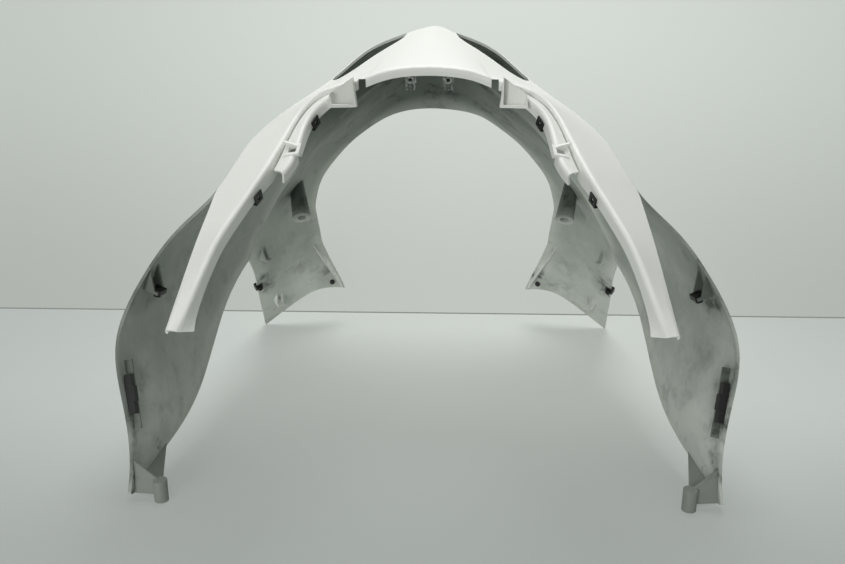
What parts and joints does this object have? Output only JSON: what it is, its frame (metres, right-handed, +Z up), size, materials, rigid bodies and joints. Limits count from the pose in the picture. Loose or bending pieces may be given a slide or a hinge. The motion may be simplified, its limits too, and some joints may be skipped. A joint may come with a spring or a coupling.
{
  "type": "motorcycle front fairing",
  "caption": "Arched motorcycle front fairing skin with a lamp opening, slit crown, rearward arms, broad side leaves and lamp cheeks, carrying spring nuts and clips inside.",
  "frame": {"origin": "middle of the floor under the whole part, in its mirror plane", "axes": "+X to the right-hand side of the machine, +Y to its front, +Z up"},
  "size_m": [0.6532, 0.6397, 0.4762],
  "materials": {
    "skin": "gloss white paint outside, bare grey with overspray inside",
    "trim": "gloss white paint",
    "nut_steel": "black phosphated spring steel",
    "lip_nut_steel": "bare spring steel with paint mist",
    "clip_plastic": "black moulded nylon"
  },
  "bodies": {
    "root": {"main_shell": "skin", "nose_cowl": "skin", "right_dash_rim": "trim", "left_dash_rim": "trim", "right_upper_nut": "nut_steel", "left_upper_nut": "nut_steel", "right_edge_clip": "clip_plastic", "left_edge_clip": "clip_plastic", "right_lip_nut": "lip_nut_steel", "left_lip_nut": "lip_nut_steel", "right_arm_nut": "nut_steel", "left_arm_nut": "nut_steel", "right_cheek_nut": "nut_steel", "left_cheek_nut": "nut_steel", "right_rim_nut": "nut_steel", "left_rim_nut": "nut_steel", "right_tip_stud": "clip_plastic", "left_tip_stud": "clip_plastic", "right_leaf_bracket": "skin", "left_leaf_bracket": "skin", "right_foot": "skin", "left_foot": "skin", "right_lamp_boss": "skin", "left_lamp_boss": "skin"}
  },
  "joints": []
}
